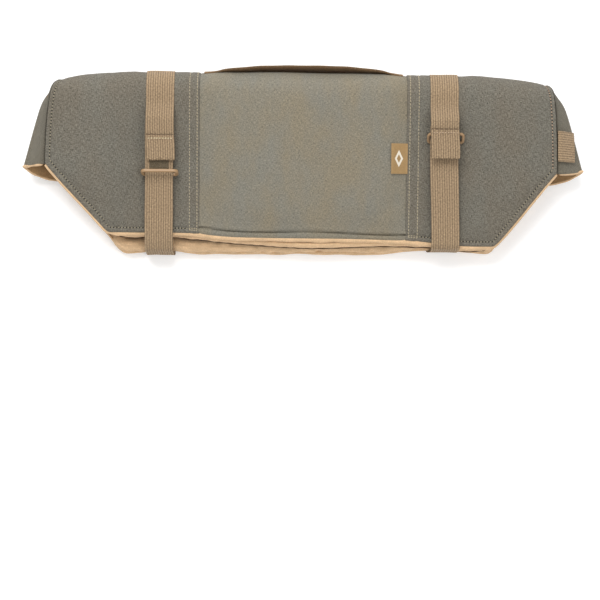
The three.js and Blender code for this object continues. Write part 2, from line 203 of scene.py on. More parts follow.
class Paint:
    """A small shader tree: named nodes on the piece's own cloth map, in millimetres."""

    def __init__(self, name, roughness, sheen=0.0, specular=0.3):
        self.material = bpy.data.materials.new(name)
        self.material.use_nodes = True
        self.tree = self.material.node_tree
        self.shader = self.tree.nodes["Principled BSDF"]
        self.shader.inputs["Roughness"].default_value = roughness
        self.shader.inputs["Specular IOR Level"].default_value = specular
        self.shader.inputs["Sheen Weight"].default_value = sheen
        self.shader.inputs["Sheen Roughness"].default_value = 0.5
        cloth = self.node("ShaderNodeUVMap")
        cloth.uv_map = "cloth"
        self.cloth = cloth.outputs["UV"]

    def node(self, kind, **inputs):
        made = self.tree.nodes.new(kind)
        for key, value in inputs.items():
            self.put(made.inputs[key.replace("_", " ")], value)
        return made

    def put(self, socket, value):
        if isinstance(value, bpy.types.NodeSocket):
            self.tree.links.new(value, socket)
        else:
            socket.default_value = value

    def math(self, operation, a, b=0.0, clamp=False):
        made = self.node("ShaderNodeMath")
        made.operation = operation
        made.use_clamp = clamp
        self.put(made.inputs[0], a)
        self.put(made.inputs[1], b)
        return made.outputs[0]

    def total(self, *parts):
        """The sum of (value, weight) pairs."""
        scaled = [self.math("MULTIPLY", value, weight) for value, weight in parts]
        result = scaled[0]
        for part in scaled[1:]:
            result = self.math("ADD", result, part)
        return result

    def across(self):
        return self.node("ShaderNodeSeparateXYZ", Vector=self.cloth).outputs

    def noise(self, per_mm, stretch=(1, 1), detail=3.0, roughness=0.6, turn=0.0):
        mapping = self.node("ShaderNodeMapping", Vector=self.cloth)
        mapping.inputs["Rotation"].default_value = (0, 0, turn)
        mapping.inputs["Scale"].default_value = (per_mm * stretch[0], per_mm * stretch[1], 1)
        made = self.node("ShaderNodeTexNoise", Scale=1.0, Detail=detail, Roughness=roughness)
        self.tree.links.new(mapping.outputs[0], made.inputs["Vector"])
        return made.outputs["Fac"]

    def ridges(self, coordinate, pitch, sharp=1.0):
        """0 to 1 to 0 once every pitch along a coordinate."""
        turns = self.math("MULTIPLY", coordinate, math.pi / pitch)
        crest = self.math("ABSOLUTE", self.math("SINE", turns))
        return self.math("POWER", crest, sharp)

    def ramp(self, factor, *stops):
        made = self.node("ShaderNodeValToRGB", Fac=factor)
        points = made.color_ramp.elements
        while len(points) < len(stops):
            points.new(0.5)
        for point, (place, colour) in zip(points, stops):
            point.position = place
            point.color = (*colour, 1)
        return made.outputs["Color"]

    def mix(self, factor, a, b, blend="MIX"):
        made = self.node("ShaderNodeMix")
        made.data_type = "RGBA"
        made.blend_type = blend
        for socket, value in zip((made.inputs[0], made.inputs[6], made.inputs[7]), (factor, a, b)):
            self.put(socket, value)
        return made.outputs[2]

    def finish(self, colour, height=None, depth=0.1):
        self.put(self.shader.inputs["Base Color"], colour)
        if height is not None:
            made = self.node("ShaderNodeBump", Height=height, Strength=1.0, Distance=depth * MM)
            self.tree.links.new(made.outputs["Normal"], self.shader.inputs["Normal"])
        return self.material


def shade(colour, factor):
    return [min(1.0, c * factor) for c in colour]


def woven_fabric(name, colour, warm, fleck, pitch=0.55, slant=0.0, grain=0.85):
    """Tight woven nylon: fine weave painted darker in its grooves as shade, flecks of lighter and darker yarn,
    and a slow drift of hue.
    """
    paint = Paint(name, roughness=0.92, sheen=0.06, specular=0.15)
    u, v, _ = paint.across()
    weave = paint.math("MULTIPLY", paint.ridges(u, pitch), paint.ridges(v, pitch * 1.3))
    coarse = paint.noise(grain, stretch=(0.45, 1.8), detail=3.0, roughness=0.7, turn=slant)
    fine = paint.noise(grain, stretch=(1.8, 0.45), detail=3.0, roughness=0.7, turn=slant)
    patches = paint.noise(0.03, stretch=(1.0, 0.5), detail=3.0, turn=0.6)
    tone = paint.total((coarse, 0.43), (fine, 0.43), (weave, 0.14))
    ground = paint.ramp(patches, (0.36, colour), (0.62, warm))
    middle, reach = 0.47, 0.16
    dark, bright = (middle - reach, [1 - fleck] * 3), (middle + reach, [1 + fleck] * 3)
    flecks = paint.ramp(tone, dark, (middle, [1, 1, 1]), bright)
    height = paint.total((weave, 1), (coarse, 1.6))
    return paint.finish(paint.mix(1.0, ground, flecks, "MULTIPLY"), height, depth=0.3)


def brushed_lining(name, colour):
    """Soft brushed lining: short nap, painted lighter on its tufts and darker in its hollows as light and
    shade, over slow patches of tone.
    """
    paint = Paint(name, roughness=0.97, sheen=0.15, specular=0.1)
    nap = paint.noise(0.75, detail=6.0, roughness=0.75)
    patches = paint.noise(0.08, stretch=(1.0, 2.0), detail=3.0)
    tone = paint.total((nap, 0.6), (patches, 0.4))
    colours = paint.ramp(tone, (0.3, shade(colour, 0.7)), (0.5, colour), (0.7, shade(colour, 1.4)))
    return paint.finish(colours, nap, depth=0.6)


def ribbed_webbing(name, colour):
    """Nylon webbing: lengthwise ribs of small beads, painted lighter on their crests and darker in dotted
    lines between them as light and shade, over random wear in the tone.
    """
    paint = Paint(name, roughness=0.85, sheen=0.05, specular=0.2)
    u, v, _ = paint.across()
    pitch = WEBBING_WIDTH / RIBS
    u = paint.math("ADD", u, WEBBING_WIDTH / 2)
    rib = paint.ridges(u, pitch, 0.5)
    column = paint.math("FLOOR", paint.math("DIVIDE", u, pitch))
    bead = paint.ridges(paint.total((v, 1), (column, 0.6)), 1.2, 0.7)
    wear = paint.noise(0.8, stretch=(0.8, 0.8), detail=4.0, roughness=0.7)
    tone = paint.total((rib, 0.23), (wear, 0.62), (bead, 0.23))
    stops = [(0.41, shade(colour, 0.36)), (0.65, colour), (0.86, shade(colour, 1.75))]
    height = paint.total((rib, 1.2), (bead, 1))
    return paint.finish(paint.ramp(tone, *stops), height, depth=0.3)


def spun_thread(name, colour):
    """Thread of two twisted plies, painted lighter on their crests and darker between them as light and shade.
    """
    paint = Paint(name, roughness=0.6, sheen=0.1)
    u, v, _ = paint.across()
    ply = paint.ridges(paint.total((v, 1), (u, 0.6)), 0.5)
    return paint.finish(paint.ramp(ply, (0.0, shade(colour, 0.7)), (1.0, shade(colour, 1.15))), ply, 0.08)


def moulded_plastic(name, colour):
    """Slightly scuffed plastic."""
    paint = Paint(name, roughness=0.42, specular=0.5)
    grain = paint.noise(1.2, detail=4.0)
    scuffs = paint.noise(0.2, stretch=(1, 3), detail=2.0)
    tone = paint.total((grain, 0.5), (scuffs, 0.5))
    colours = paint.ramp(tone, (0.3, shade(colour, 0.86)), (0.7, shade(colour, 1.1)))
    return paint.finish(colours, grain, depth=0.05)


def hook_and_loop(name, colour):
    """A pile of small loops, painted lighter on their tops and darker between them as light and shade."""
    paint = Paint(name, roughness=0.95, sheen=0.3)
    loops = paint.node("ShaderNodeTexVoronoi", Scale=1.5)
    paint.tree.links.new(paint.cloth, loops.inputs["Vector"])
    distance = loops.outputs["Distance"]
    colours = paint.ramp(distance, (0.0, shade(colour, 1.4)), (0.5, colour), (1.0, shade(colour, 0.45)))
    return paint.finish(colours, paint.math("SUBTRACT", 1.0, distance), depth=0.6)


def woven_label(name, colour, mark):
    """Satin label ground with a plain diamond of paler thread. Its map runs over 15 by 27 mm."""
    paint = Paint(name, roughness=0.55, sheen=0.3)
    u, v, _ = paint.across()
    rows = paint.ridges(v, 0.45)
    away = []
    for coordinate, middle, half in ((u, 7.0, 3.8), (v, 13.8, 7.6)):
        off = paint.math("ABSOLUTE", paint.math("SUBTRACT", coordinate, middle))
        away.append(paint.math("DIVIDE", off, half))
    reach = paint.math("ADD", *away)
    inside = paint.math("LESS_THAN", reach, 1.0)
    hollow = paint.math("GREATER_THAN", reach, 0.5)
    drawn = paint.math("MULTIPLY", inside, hollow)
    satin = paint.noise(1.0, stretch=(0.4, 2.0))
    ground = paint.ramp(satin, (0.3, shade(colour, 0.82)), (0.7, shade(colour, 1.1)))
    return paint.finish(paint.mix(drawn, ground, (*mark, 1)), rows, depth=0.1)


CENTRE = woven_fabric("centre_cloth", srgb(149, 145, 132), srgb(156, 146, 125), fleck=0.66, grain=1.0)
SIDE = woven_fabric("side_cloth", srgb(124, 120, 109), srgb(124, 117, 104), fleck=0.98, pitch=0.7, slant=0.75,
                    grain=0.9)
GUSSET = woven_fabric("gusset_cloth", srgb(126, 121, 108), srgb(127, 120, 105), fleck=0.5, pitch=0.7,
                      grain=0.9)
LINING = brushed_lining("lining_nap", srgb(233, 197, 155))
# painted shade: the lining's colour darkened, for the gussets' lining, which lies in the hollow
SHADED_LINING = brushed_lining("shaded_lining_nap", srgb(176, 142, 102))
WEB = ribbed_webbing("webbing_weave", srgb(165, 141, 112))
# the handle's webbing is a darker brown than the straps', and is darkened more as painted shade for its shaded
# underside
DARK_SHADED_HANDLE_WEB = ribbed_webbing("dark_shaded_handle_weave", srgb(140, 111, 79))
PALE_THREAD = spun_thread("pale_thread", srgb(192, 178, 150))
GREY_THREAD = spun_thread("grey_thread", srgb(170, 160, 136))
TAN_THREAD = spun_thread("tan_thread", srgb(200, 172, 144))
HEM_THREAD = spun_thread("hem_thread", srgb(232, 214, 176))
# painted shade: near-black thread colour for dark dashes between stitches, standing for the shade in the
# needle holes
HOLE_SHADE = spun_thread("needle_hole_shade", srgb(44, 40, 35))
# painted shadow: a dark cloth colour for a thin tube lying in the valley between a side panel and its gusset
SEAM_SHADE = woven_fabric("seam_shadow_cloth", srgb(66, 62, 55), srgb(60, 56, 50), fleck=0.3)
# painted shadow: a dark lining colour for the thin tube in the crease between the front and back folds
CREASE_SHADOW = brushed_lining("crease_shadow_nap", srgb(98, 75, 53))
# painted shadow: a dark brown for a thin tube along the cut end of a strap's hem
HEM_EDGE_SHADE = spun_thread("painted_hem_shadow", srgb(104, 84, 62))
PLASTIC = moulded_plastic("ring_plastic", srgb(178, 143, 104))
# the pile's own olive brown, darkened further as painted shadow of the strap's folded end above it
SHADED_PILE = hook_and_loop("loop_pile", srgb(112, 98, 75))
LABEL = woven_label("label_satin", srgb(178, 144, 95), srgb(250, 240, 220))


# ---- the cover's outer surface -----------------------------------------------------------------
def sway(x):
    """The ridge rides up a little about its middle and sinks towards the right."""
    return 1.4 * bump(x + 35, 100) - 1.6 * smooth((x - 70) / 120)


def ridge_centre(x):
    past = np.clip((np.abs(x) - RIDGE_FLAT) / (HALF_LENGTH - RIDGE_FLAT), 0, 1)
    return HINGE_Y + sway(x) - RIDGE_DROP * past**2


def of_side(pair, x):
    """The left value of a pair where x is left of the middle, else the right one."""
    return np.where(x < 0, *pair)


def lower_edge(outline, x):
    """Height of a panel's lower outline, with its corner a little rounded."""
    corner = of_side(outline["corner"], x)
    bottom = outline["bottom"]
    rise = (of_side(outline["side"], x) - bottom) / (HALF_LENGTH - corner)
    line = bottom + rise * (np.abs(x) - corner)
    rounded = 0.5 * (bottom + line + np.sqrt((line - bottom) ** 2 + 2.0**2))
    left_step, right_step = outline["steps"]
    level = outline["slant"] * x + left_step * smooth((-x - 60) / 50) + right_step * smooth((x - 95) / 60)
    pulled = of_side(outline["pull"], x) * bump(np.abs(x) - STRAP_X, of_side(outline["reach"], x))
    low = 1 - smooth((np.abs(x) - corner) / (HALF_LENGTH - corner))
    return rounded + level * low + pulled + 0.35 * np.sin(x / 23) - 0.3


def slope_of(outline, x, step=0.5):
    """How steeply a lower edge rises along x."""
    return (lower_edge(outline, x + step) - lower_edge(outline, x - step)) / (2 * step)


def flare(x, t):
    """How far the front's ends stand out sideways: quickly below the ridge, then hardly more."""
    corner = of_side(FRONT_EDGE["corner"], x)
    past = np.clip((np.abs(x) - corner) / (HALF_LENGTH - corner), 0, 1)
    reach = of_side(SIDE_FLARE, x) * (1 - np.exp(-np.maximum(ARC_LENGTH / 2 - t, 0) / 36))
    return np.sign(x) * past * reach


def section(x, t):
    """y, z and outward normal at unrolled place t: below 0 on the front, then the ridge, then the back."""
    centre = ridge_centre(x)
    turn = np.clip(t / RIDGE_RADIUS, 0, math.pi)
    front, back = np.minimum(t, 0), np.maximum(t - ARC_LENGTH, 0)
    y = centre + RIDGE_RADIUS * np.sin(turn) + front - back
    z = MIDDLE_Z + RIDGE_RADIUS * np.cos(turn) + FALL * front
    slope = FALL * smooth(-t / 8)
    normal = np.stack([np.where(t < 0, -slope, np.sin(turn)), np.where(t < 0, 1, np.cos(turn))], -1)
    return y, z, normalized(normal)


def over(x, t, height):
    """The point standing height over the cover's outer surface."""
    y, z, normal = section(x, t)
    return np.stack([x + flare(x, t), y + normal[..., 0] * height, z + normal[..., 1] * height], -1)


def front_t(y):
    """Unrolled place of a height on the front."""
    return y - ridge_centre(0.0)


def lowest_t(x):
    """Unrolled places of the front's lower edge and of the back's."""
    centre = ridge_centre(x)
    return lower_edge(FRONT_EDGE, x) - centre, ARC_LENGTH + centre - lower_edge(BACK_EDGE, x)


def edge_distance(x, t):
    """How far in from the sewn outer edge a place is."""
    front, back = lowest_t(x)
    steep = [1 / np.sqrt(1 + slope_of(outline, x) ** 2) for outline in (FRONT_EDGE, BACK_EDGE)]
    low = np.where(t < ARC_LENGTH / 2, (t - front) * steep[0], (back - t) * steep[1])
    return np.minimum(low, HALF_LENGTH - np.abs(x) + EDGE_STITCH - END_STITCH)


def strap_press(x):
    """1 under a strap, 0 clear of it."""
    return 1 - smooth((np.abs(np.abs(x) - STRAP_X) - 14) / 12)


def puff(x, t):
    """How far the padding lifts the fabric where nothing holds it down."""
    on_back = smooth((t - ARC_LENGTH * 0.6) / 20)
    room = 1.9 - 0.9 * on_back - 1.3 * smooth(1.4 - np.abs(t - ARC_LENGTH / 2) / 30)
    room = room + 0.4 * waves(x, t, 3, (38, 90)) * (1 - 0.5 * on_back)
    pressed = 1.5 * bump(np.abs(x) - STRAP_X, 30) * smooth((-t - 30) / 70)
    return (room * (1 - strap_press(x)) - pressed) * smooth((edge_distance(x, t) - 5) / 22)


def sewn_edge(distance):
    """The pressed border of a padded piece: rounded rim, flat flange and the dent of the stitches."""
    rim = -1.8 * np.exp(-np.maximum(distance, 0) / 0.6)
    flange = -0.35 * (1 - smooth((distance - 5) / 9))
    return rim + flange - 0.95 * bump(distance - EDGE_STITCH, 1.1) + 0.35 * bump(distance - 2.0, 0.9)


def side_height(x, t):
    """Height of a side panel's fabric: its sewn edges, its puff and the pucker beside its seam."""
    seam = np.abs(x) - SEAM_X
    height = sewn_edge(edge_distance(x, t)) + puff(x, t) * smooth((seam - 9) / 14)
    height = height - 0.9 * np.exp(-np.maximum(seam, 0) / 0.7) + 0.5
    for pair in SEAM_STITCHES:
        height = height - 0.5 * bump(seam - of_side(pair, x), 0.9)
    pucker = 0.2 * np.sin(math.tau * t / 7.3) + 0.14 * np.sin(math.tau * t / 4.4 + 1)
    return height + pucker * bump(seam - 5.4, 4) + edge_pucker(x, t) + relief(x, t)


def edge_pucker(x, t):
    """Fabric gathered a little between the stitches of the border."""
    along = x + t
    wave = 0.16 * np.sin(math.tau * along / 6.1) + 0.14 * np.sin(math.tau * along / 9.7 + 2)
    return wave * bump(edge_distance(x, t) - 8, 4)


def centre_height(x, t):
    """Height of the centre panel's fabric, with a folded hem along both lower edges."""
    seam = SEAM_X - np.abs(x)
    height = puff(x, t) * smooth((seam - 1) / 16) - 0.9 * np.exp(-np.maximum(seam, 0) / 4)
    distance = edge_distance(x, t)
    wander = 0.5 * waves(x, 0, 11, (50, 120))
    hem = -2.6 * bump(distance - HEM - wander, 0.8) + 0.35 * bump(distance - HEM / 2, 1.6)
    hem = hem + 0.8 * bump(distance - HEM - wander - 2.4, 2.2)
    return height + hem - 1.2 * np.exp(-np.maximum(distance, 0) / 0.9) + relief(x, t)


# ---- padded panels -----------------------------------------------------------------------------
FRONT_SHARE, BACK_SHARE = 0.39, 0.58  # shares of the way round where the ridge's curve begins and ends
PANEL_RUN = 130.0  # about the length of a panel from the ridge to its lower edge


def unrolled(x, share):
    """Unrolled place at a share of the way from the front's lower edge over the ridge to the back's."""
    front, back = lowest_t(x)
    on_front = front * (1 - share / FRONT_SHARE)
    on_arc = ARC_LENGTH * (share - FRONT_SHARE) / (BACK_SHARE - FRONT_SHARE)
    on_back = ARC_LENGTH + (back - ARC_LENGTH) * (share - BACK_SHARE) / (1 - BACK_SHARE)
    return np.where(share < FRONT_SHARE, on_front, np.where(share < BACK_SHARE, on_arc, on_back))


def shares():
    """Stations for unrolled(), close together at both lower edges."""
    rim = np.array((*RIM_STEPS, 10.2)) / PANEL_RUN
    down = np.concatenate([rim, np.linspace(rim[-1], 1, 44)[1:]])
    front, back = FRONT_SHARE * down, 1 - (1 - BACK_SHARE) * down[::-1]
    return np.concatenate([front, np.linspace(FRONT_SHARE, BACK_SHARE, 25)[1:-1], back])


def panel_grid(low, high, step=2.6, inset=0.0):
    """x and unrolled place of a grid of points between two ends, over the ridge from edge to edge."""
    share, x = np.meshgrid(shares(), spread(low, high, step), indexing="ij")
    t = unrolled(x, share)
    front, back = lowest_t(x)
    return x, np.clip(t, front + inset, back - inset)


SKIN_BEND = (25.5, 29.3)  # two levels in millimetres, handed to bend_with_cover with the outer fabric's pieces
LINING_BEND = (20.8, 25)
GUSSET_BEND = (12, 29)


def bend_with_cover(piece, start, end):
    """Bakes the piece's placing into its mesh; start and end are not used."""
    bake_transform(piece)


def pad_thickness(x, t):
    """Thinner at the sewn edge, and beside the hinge, where inner and outer face must bend together."""
    at_edge = 1.6 * (1 - smooth(edge_distance(x, t) / 9))
    at_hinge = 3.4 * smooth((t + 85) / 35) * smooth((25 - t) / 22)
    return PAD - np.maximum(at_edge, at_hinge)


def padded_panel(name, low, high, height_at, material, slot, nodes):
    """Outer fabric and foam as one closed form, from the front's lower edge over the ridge to the back's."""
    x, t = panel_grid(low, high)
    height = height_at(x, t)
    outer = over(x, t, height)
    outer[..., 2] = np.maximum(outer[..., 2], 0)  # flat where it rests on the ground
    inner = over(x, t, np.minimum(height, 0.4) - pad_thickness(x, t))
    piece = closed_sheet(name, outer, inner, np.stack([x, t], -1), material)
    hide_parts(*nodes)
    bend_with_cover(piece, *SKIN_BEND)


SIM_CELLS = (4.0, 84)  # width of a cell across in mm, and rows of cells the long way
SIM_STEPS = 18
RELIEF_SCALE, RELIEF_LIMITS = 0.6, (-1.0, 2.8)


def sewn_down(x, t, low, high):
    """True where the filling can't lift the fabric: at the border, the seams and under the straps."""
    held = (edge_distance(x, t) < EDGE_STITCH + 1) | (strap_press(x) > 0.5)
    return held | (x - low < 3) | (high - x < 3)


def relaxed(low, high):
    """Relief of slack fabric over its filling, found by cloth simulation, on a grid from low to high."""
    columns = round((high - low) / SIM_CELLS[0])
    down_shares = np.linspace(0, 1, SIM_CELLS[1] + 1)
    share, across = np.meshgrid(down_shares, np.linspace(low, high, columns + 1), indexing="ij")
    along = unrolled(across, share)
    start = over(across, along, 0)
    away = over(across, along, 1) - start
    cloth = mesh_object("slack_fabric", start.reshape(-1, 3), grid_faces(*across.shape))
    held = sewn_down(across, along, low, high).ravel()
    pins = cloth.vertex_groups.new(name="sewn")
    pins.add(np.flatnonzero(held).tolist(), 1.0, "REPLACE")
    settings = cloth.modifiers.new("Cloth", "CLOTH").settings
    settings.quality = 6
    settings.mass = 0.25
    settings.tension_stiffness = settings.compression_stiffness = 9
    settings.shear_stiffness = 6
    settings.bending_stiffness = 0.6
    settings.air_damping = 3
    settings.vertex_group_mass = "sewn"
    settings.shrink_min = -0.012
    settings.use_pressure = True
    settings.uniform_pressure_force = 1.2
    settings.effector_weights.gravity = 0
    for step in range(1, SIM_STEPS + 1):
        bpy.context.scene.frame_set(step)
    shown = cloth.evaluated_get(bpy.context.evaluated_depsgraph_get())
    moved = np.zeros(len(shown.data.vertices) * 3)
    shown.data.vertices.foreach_get("co", moved)
    moved = moved.reshape(start.shape) / MM - start
    bpy.data.objects.remove(cloth)
    bpy.context.scene.frame_set(1)
    lift = (moved * away).sum(-1)
    on_ridge = bump(along - ARC_LENGTH / 2, 45)
    return np.clip(RELIEF_SCALE * lift, *RELIEF_LIMITS) * (1 - 0.75 * on_ridge)


def relief(x, t):
    """The simulated relief at places on the cover."""
    total = 0.0
    for low, high, grid in RELIEFS:
        inside = (x >= low) & (x <= high)
        total = total + np.where(inside, read_off(grid, (x - low) / (high - low), x, t), 0)
    return total


def read_off(grid, across, x, t):
    """Values of a grid, rows by share of the way round, at places on the cover."""
    front, back = lowest_t(x)
    on_front = FRONT_SHARE * (1 - t / front)
    on_arc = FRONT_SHARE + (BACK_SHARE - FRONT_SHARE) * t / ARC_LENGTH
    on_back = BACK_SHARE + (1 - BACK_SHARE) * (t - ARC_LENGTH) / (back - ARC_LENGTH)
    share = np.where(t > ARC_LENGTH, on_back, np.where(t < 0, on_front, on_arc))
    row, column = (np.clip(s, 0, 1) * (n - 1) for s, n in zip((share, across), grid.shape))
    i, j = (np.minimum(k.astype(int), n - 2) for k, n in zip((row, column), grid.shape))
    a, b = smooth(row - i), smooth(column - j)
    near = grid[i, j] * (1 - b) + grid[i, j + 1] * b
    return near * (1 - a) + (grid[i + 1, j] * (1 - b) + grid[i + 1, j + 1] * b) * a


SPANS = ((-HALF_LENGTH, -SEAM_X), (-SEAM_X, SEAM_X), (SEAM_X, HALF_LENGTH))
RELIEFS = [(low, high, relaxed(low, high)) for low, high in SPANS]

padded_panel("centre_panel", -SEAM_X - 1, SEAM_X + 1, centre_height, CENTRE, "centre_fabric",
             ["front_centre_panel", "back_centre_panel", "front_foam_pad", "ridge_foam_pad", "back_foam_pad"])
for side, sign in ENDS:
    ends = sorted((sign * SEAM_X, sign * HALF_LENGTH))
    padded_panel(f"{side}_side_panel", *ends, side_height, SIDE, "side_fabric",
                 [f"front_{side}_side_panel", f"back_{side}_side_panel"])


# ---- lining and the rolled edges at the mouth --------------------------------------------------
def lining_sheet():
    """The soft lining under the padding, one piece from mouth to mouth."""
    x, t = panel_grid(-HALF_LENGTH + 1, HALF_LENGTH - 1, step=4.0, inset=1.2)
    soft = 0.35 * waves(x, t, 21, (14, 40)) * smooth(edge_distance(x, t) / 8)
    outer, inner = over(x, t, -PAD - 0.1), over(x, t, -PAD - 1.0 - soft)
    piece = closed_sheet("lining", outer, inner, np.stack([x, t], -1), LINING)
    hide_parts("front_lining", "back_lining")
    bend_with_cover(piece, *LINING_BEND)


def rolled_edge(name, is_front, radius, seed, node):
    """The lining rolled round a panel's lower edge: a soft wavy tube."""
    x = np.linspace(-HALF_LENGTH + 0.5, HALF_LENGTH - 0.5, 240)
    front, back = lowest_t(x)
    rise = slope_of(FRONT_EDGE if is_front else BACK_EDGE, x)
    length = np.sqrt(1 + rise**2)
    wander = 0.5 * waves(x, 0, seed, (30, 90)) * (1 - smooth((np.abs(x) - 140) / 30))
    around = np.linspace(0, math.tau, 20, endpoint=False)
    rings = []
    slim = 1 - 0.45 * smooth((np.abs(x) - 166) / 10)
    for a in around:
        out = radius[0] * math.cos(a) * slim + 0.6 * slim - 0.35 * (1 - slim)
        depth = -PAD / 2 - 0.6 + radius[1] * math.sin(a) * (0.4 + 0.6 * slim)
        crease = 0.25 * waves(x, 9 * a, seed + 1, (9, 25)) * max(0, math.cos(a))
        reach = (out + crease) / length + wander * (0.6 + 0.4 * math.cos(a))
        shift = (out + 0.6) * rise / length * 0.8
        t = front - reach if is_front else back + reach
        rings.append(over(x + shift, t, depth))
    points = np.stack(rings, 1)
    uv = np.stack(np.broadcast_arrays(x[:, None], around * radius[1]), -1)
    faces = tube_faces(*points.shape[:2], flip=not is_front)
    piece = mesh_object(name, points.reshape(-1, 3), faces, uv.reshape(-1, 2), LINING)
    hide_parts(node)
    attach(piece, "front_cover" if is_front else "back_cover")


def soft_tube(name, path, radius, seed, material, around=14, wander=0.35):
    """A tube a little uneven along its length, closed at both ends."""
    tangent = normalized(np.gradient(path, axis=0))
    side = normalized(np.cross(tangent, (0.3, 1.0, 0.1)))
    up = np.cross(side, tangent)
    angle = np.linspace(0, math.tau, around, endpoint=False)
    travelled = travel(path)
    uneven = 1 + wander * 0.4 * waves(travelled[:, None], 4 * angle[None, :], seed, (7, 20))[..., None]
    ends = np.minimum(travelled, travelled[-1] - travelled)
    taper = np.sqrt(np.clip(ends / radius[0], 0.05, 1))[:, None, None]
    spoke = side[:, None] * np.cos(angle)[None, :, None] * radius[0]
    spoke = spoke + up[:, None] * np.sin(angle)[None, :, None] * radius[1]
    rings = path[:, None] + spoke * uneven * taper
    uv = np.stack(np.broadcast_arrays(travelled[:, None], angle[None, :] * radius[0]), -1)
    return mesh_object(name, rings.reshape(-1, 3), tube_faces(len(path), around), uv.reshape(-1, 2), material)


def mouth_folds():
    """Both linings bulging softly into the mouth, just inside their rolled edges, with a thin dark tube of
    painted shadow in the crease between them.
    """
    x = np.linspace(-166, 166, 220)
    end = smooth((166 - np.abs(x)) / 20)
    sag = 1.2 + 4.4 * bump(x - 5, 62) + 0.5 * waves(x, 0, 47, (50, 120))
    sag = sag * (1 - 0.6 * strap_press(x))
    y = lower_edge(FRONT_EDGE, x) - sag * end
    z = 22.0 - 1.6 * end + 0.3 * waves(x, 0, 48, (50, 110))
    line = np.stack([x, y, z], -1)
    front = soft_tube("front_lining_fold", line, (2.4, 2.9), 49, LINING, around=20, wander=0.2)
    # a thin dark tube under the front fold: painted shadow of the crease
    line = np.stack([x, y - 3.0, 18.6 - 1.2 * end], -1)
    crease = soft_tube("front_crease_shadow", line, (0.8, 0.7), 53, CREASE_SHADOW, around=10)
    x = np.linspace(-171, 173, 220)
    y = lower_edge(BACK_EDGE, x) + 5.0 + 0.5 * waves(x, 0, 57, (50, 120))
    z = 9.0 + 0.4 * waves(x, 0, 58, (50, 110))
    line = np.stack([x, y, z], -1)
    back = soft_tube("back_lining_fold", line, (6.0, 6.2), 59, LINING, around=24, wander=0.2)
    for fold, body in ((front, "front_cover"), (crease, "front_cover"), (back, "back_cover")):
        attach(fold, body)


lining_sheet()
mouth_folds()
rolled_edge("front_rolled_edge", True, (2.6, 2.3), 31, "front_mouth_binding")
rolled_edge("back_rolled_edge", False, (2.4, 2.6), 41, "back_mouth_binding")


# ---- end gussets -------------------------------------------------------------------------------
FOLD = np.array([(221.0, 71.9), (223.5, 70.0), (228, 61.8), (234, 50.8), (239.5, 32.8), (250, -6.2)])
FOLD_BULGE = 3.6
LINING_START = 18  # the lining's first row, inside the hollow of the ridge
GUSSET_FLAT = (62, 82)  # width round the fold and length down it


def fold_line(down):
    """The gusset's fold from the end of the ridge to the mouth: a smooth curve through FOLD."""
    ends = np.vstack([2 * FOLD[0] - FOLD[1], FOLD, 2 * FOLD[-1] - FOLD[-2]])
    place = np.clip(down, 0, 1) * (len(FOLD) - 1)
    k = np.minimum(place.astype(int), len(FOLD) - 2)
    f = (place - k)[..., None]
    a, b, c, d = (ends[k + n] for n in range(4))
    bend = (2 * a - 5 * b + 4 * c - d) * f**2 + (3 * b - a - 3 * c + d) * f**3
    return (2 * b + (c - a) * f + bend) / 2


def gusset_seam_heights(y, sign):
    """z of a gusset's front seam and of its back seam at a height y."""
    centre = ridge_centre(sign * HALF_LENGTH)
    rise = np.sqrt(np.maximum(RIDGE_RADIUS**2 - np.maximum(y - centre, 0) ** 2, 0.01))
    drop = FALL * np.maximum(centre - y, 0)
    return MIDDLE_Z + rise - drop, MIDDLE_Z - rise


def gusset_grid(sign, rows=44, columns=49):
    """Outer face of a gusset: rows run down the fold, columns from the front seam round to the back."""
    down, turn = np.meshgrid(np.linspace(0, 1, rows), np.linspace(0, 1, columns), indexing="ij")
    fold = fold_line(down) + np.array((0, sway(sign * HALF_LENGTH))) * (1 - down[..., None])
    sine, cosine = np.sin(math.pi * turn), np.cos(math.pi * turn)
    chord = 1 - np.abs(2 * turn - 1)
    outward = 0.45 * sine + 0.55 * chord
    away = 0.45 * np.abs(cosine) + 0.55 * (1 - chord)
    in_front = turn < 0.5
    end_x = sign * HALF_LENGTH
    centre = ridge_centre(end_x)
    lowest = np.where(in_front, lower_edge(FRONT_EDGE, end_x), lower_edge(BACK_EDGE, end_x) + 2.5)
    y = fold[..., 1] - (fold[..., 1] - lowest) * down**3 * np.abs(cosine)
    front, back = gusset_seam_heights(y, sign)
    round_ridge = RIDGE_RADIUS * np.arcsin(np.clip((y - centre) / RIDGE_RADIUS, 0, 1))
    seam_t = np.where(y > centre, round_ridge, y - centre)
    flared = np.abs(flare(end_x, seam_t)) + 0.8 * smooth(down * 6)
    seam_x = HALF_LENGTH + 0.2 + np.where(in_front, flared, 0)
    bulge = FOLD_BULGE * smooth(down * 1.6) * (0.4 + 0.6 * down)
    x = seam_x + (np.maximum(fold[..., 0] + bulge, seam_x + 1) - seam_x) * outward
    middle = (front + back) / 2
    valley = 1.8 * np.exp(-turn / 0.035) * smooth(down * 4)
    z = middle + (np.where(in_front, front - 3.4 - valley, back + 1.2) - middle) * away
    points = np.stack([sign * x, y, z], -1)
    return points, down, turn


def facing(points, sign):
    """Unit normals of a grid, pointing away along the gusset's own side."""
    normal = normalized(np.cross(np.gradient(points, axis=0), np.gradient(points, axis=1)))
    middle = normal[len(normal) // 2, normal.shape[1] // 2]
    return normal if middle[0] * sign > 0 else -normal


